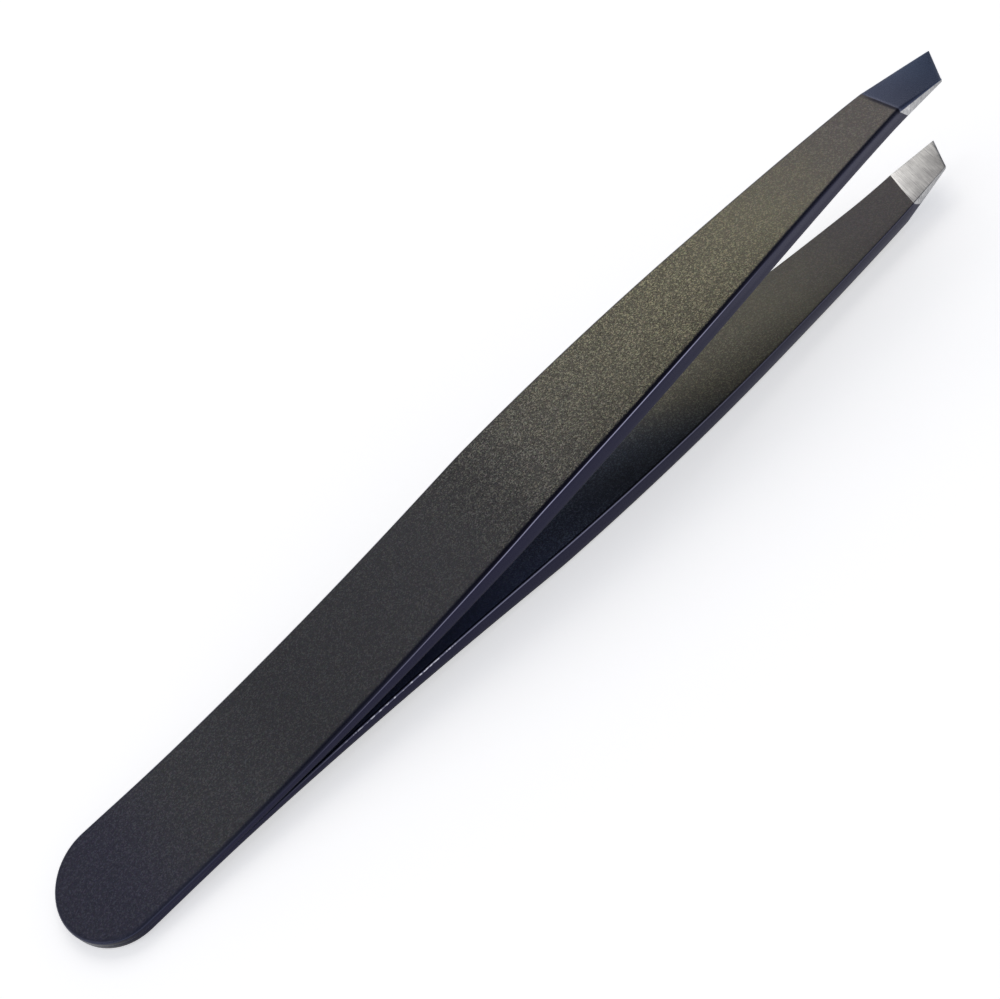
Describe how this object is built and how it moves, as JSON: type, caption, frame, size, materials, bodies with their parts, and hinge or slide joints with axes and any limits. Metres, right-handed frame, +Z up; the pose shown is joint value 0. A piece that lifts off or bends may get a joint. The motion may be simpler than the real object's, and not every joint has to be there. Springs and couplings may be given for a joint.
{
  "type": "slant tweezers",
  "caption": "Slant-tip tweezers: mirrored sprung arms welded at a rounded butt, with ground, angled tips that close onto each other to pluck hair.",
  "frame": {"origin": "middle of the footprint, on the surface that the tweezers lie on", "axes": "+X from the butt towards the tips, +Y across the arms towards the leading corner of the slanted tips, +Z up, with the tweezers lying on their lower arm"},
  "size_m": [0.0952, 0.0098, 0.0126],
  "materials": {
    "coated_arm": "satin black pearl coating over steel, bare brushed steel on the ground faces of the tips",
    "weld_steel": "fused steel, hidden between the arms"
  },
  "bodies": {
    "welded_butt": {"upper_arm_tail": "coated_arm", "lower_arm_tail": "coated_arm", "spot_welds": "weld_steel"},
    "upper_blade": {"upper_arm_blade": "coated_arm"},
    "lower_blade": {"lower_arm_blade": "coated_arm"}
  },
  "joints": [
    {"name": "upper_flex", "type": "hinge", "parent": "welded_butt", "child": "upper_blade", "pos_m": [-0.02565, 0, 0.0028], "axis": [0, 1, 0], "range_deg": [0, 3.46], "stiffness_Nm_per_rad": 1.5},
    {"name": "lower_flex", "type": "hinge", "parent": "welded_butt", "child": "lower_blade", "pos_m": [-0.02554, 0, 0.00137], "axis": [0, -1, 0], "range_deg": [0, 3.46], "stiffness_Nm_per_rad": 1.5}
  ],
  "couplings": [
    {"joint": "lower_flex", "follows": "upper_flex", "ratio": 1}
  ]
}
